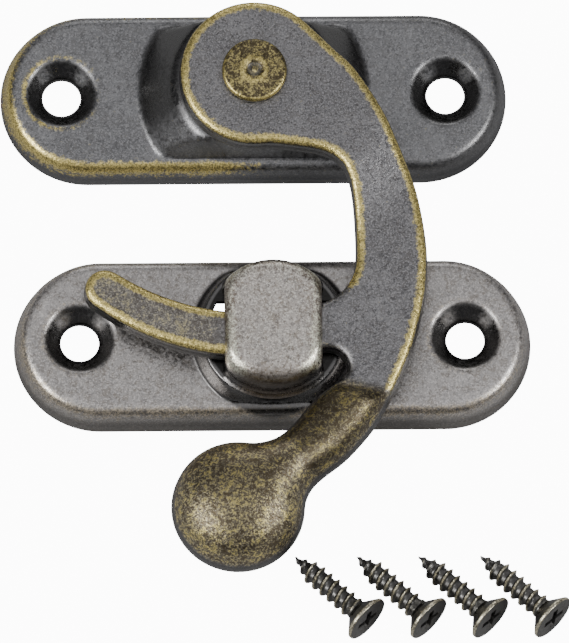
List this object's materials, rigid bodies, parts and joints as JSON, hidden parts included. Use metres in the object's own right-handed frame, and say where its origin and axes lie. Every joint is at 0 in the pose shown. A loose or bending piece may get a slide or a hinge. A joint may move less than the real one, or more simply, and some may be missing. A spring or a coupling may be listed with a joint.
{
  "type": "swing arm hook latch",
  "caption": "Antique bronze swing-arm latch: a cast hook with a thumb ball turns on a riveted boss and passes under a bridge on its catch plate.",
  "frame": {"origin": "middle of the set's footprint, on the mounting plane the two plates stand on", "axes": "+Z out of the mounting surface, towards the user; +Y from the catch plate to the arm plate, which is up in use; +X to the right as the user sees it"},
  "size_m": [0.0558, 0.0646, 0.0124],
  "materials": {
    "dark_bronze": "dark antique bronze plating on pressed steel sheet, satin, brass showing on worn edges",
    "grey_bronze": "lighter grey antique bronze plating on pressed steel sheet, satin",
    "arm_bronze": "antique bronze plated die casting, grey flats, yellow brass on worn edges, mottled thumb ball",
    "rivet_bronze": "antique bronze plated rivet, brassy rim",
    "screw_bronze": "dark antique bronze plated wood screw"
  },
  "bodies": {
    "plates": {"arm_plate": "dark_bronze", "catch_plate": "grey_bronze", "pivot_rivet": "rivet_bronze", "mounting_screw_1": "screw_bronze", "mounting_screw_2": "screw_bronze", "mounting_screw_3": "screw_bronze", "mounting_screw_4": "screw_bronze"},
    "arm": {"swing_arm": "arm_bronze"}
  },
  "joints": [
    {"name": "arm_swing", "type": "hinge", "parent": "plates", "child": "arm", "pos_m": [-0.00273, 0.0236, 0.0089], "axis": [0, 0, 1], "range_deg": [0, 270]}
  ]
}
